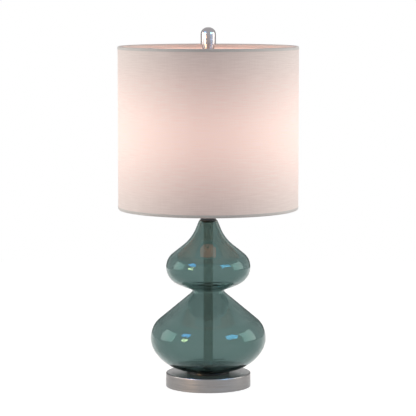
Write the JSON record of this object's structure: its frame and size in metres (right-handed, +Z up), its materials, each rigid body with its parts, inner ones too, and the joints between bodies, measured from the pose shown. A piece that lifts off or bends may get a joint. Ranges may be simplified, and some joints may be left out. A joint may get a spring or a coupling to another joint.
{
  "type": "table lamp",
  "caption": "Table lamp with a transparent double gourd glass body on a round metal base, and a white fabric drum shade on a harp.",
  "frame": {"origin": "centre of the felt underside, where the lamp stands on the table", "axes": "+Z up along the lamp's axis, +X to the right, -Y to the front"},
  "size_m": [0.2802, 0.2802, 0.5607],
  "materials": {
    "linen": "natural white linen, plain weave",
    "shade_liner": "pressure-sensitive styrene liner, matt",
    "hem": "rolled linen hem",
    "painted_wire": "white painted steel wire",
    "glass": "transparent teal-grey blown glass",
    "bulb_glass": "frosted glass",
    "nickel": "brushed satin nickel",
    "chrome": "polished chrome",
    "blackened": "black oxide finish on steel",
    "tube": "polished steel tube",
    "zinc": "zinc plated steel",
    "iron": "black painted cast iron",
    "felt": "black felt",
    "black_plastic": "black moulded plastic",
    "gasket": "black rubber",
    "brass": "nickel-free spun brass",
    "fibre": "insulating fibre",
    "aluminium": "rolled aluminium",
    "bulb_black": "black glass insulator"
  },
  "bodies": {
    "root": {"base_felt": "felt", "base_shell": "nickel", "base_weight": "iron", "cord_bushing": "black_plastic", "threaded_rod": "zinc", "rod_washer": "zinc", "rod_lock_washer": "zinc", "rod_nut": "zinc", "glass_seat": "blackened", "foot_gasket": "gasket", "glass_body": "glass", "rod_cover": "tube", "top_gasket": "gasket", "neck_cap": "chrome", "neck_nut": "chrome", "neck_spacer": "chrome", "harp_saddle": "chrome", "socket_cap": "brass", "socket_shell": "brass", "socket_liner": "fibre", "socket_floor_disc": "fibre", "socket_block": "black_plastic", "terminal_screws": "zinc", "socket_screw_shell": "brass", "socket_contact": "brass"},
    "harp": {"harp": "chrome"},
    "ferrule_left": {"harp_ferrule_left": "chrome"},
    "ferrule_right": {"harp_ferrule_right": "chrome"},
    "swivel": {"shade_seat": "chrome"},
    "shade": {"shade_fabric": "linen", "shade_liner": "shade_liner", "shade_top_hem": "hem", "shade_top_wire": "painted_wire", "shade_bottom_hem": "hem", "shade_bottom_wire": "painted_wire", "shade_fitter": "painted_wire"},
    "finial": {"finial": "chrome"},
    "switch": {"switch_stem": "brass", "switch_knob": "black_plastic"},
    "bulb": {"bulb_envelope": "bulb_glass", "bulb_screw_base": "aluminium", "bulb_insulator": "bulb_black", "bulb_tip": "brass"}
  },
  "joints": [
    {"name": "harp_lift", "type": "slide", "parent": "root", "child": "harp", "axis": [0, 0, 1], "range_m": [0, 0.03]},
    {"name": "ferrule_left_slide", "type": "slide", "parent": "harp", "child": "ferrule_left", "axis": [0, 0, 1], "range_m": [0, 0.015]},
    {"name": "ferrule_right_slide", "type": "slide", "parent": "harp", "child": "ferrule_right", "axis": [0, 0, 1], "range_m": [0, 0.015]},
    {"name": "shade_swivel", "type": "hinge", "parent": "harp", "child": "swivel", "pos_m": [0, 0, 0.512], "axis": [0, 0, 1], "continuous": true},
    {"name": "shade_lift", "type": "slide", "parent": "swivel", "child": "shade", "axis": [0, 0, 1], "range_m": [0, 0.04]},
    {"name": "finial_unscrew", "type": "slide", "parent": "shade", "child": "finial", "axis": [0, 0, 1], "range_m": [0, 0.025]},
    {"name": "switch_turn", "type": "hinge", "parent": "root", "child": "switch", "pos_m": [0, -0.017, 0.3066], "axis": [0, -1, 0], "continuous": true},
    {"name": "bulb_unscrew", "type": "slide", "parent": "root", "child": "bulb", "axis": [0, 0, 1], "range_m": [0, 0.035]}
  ]
}
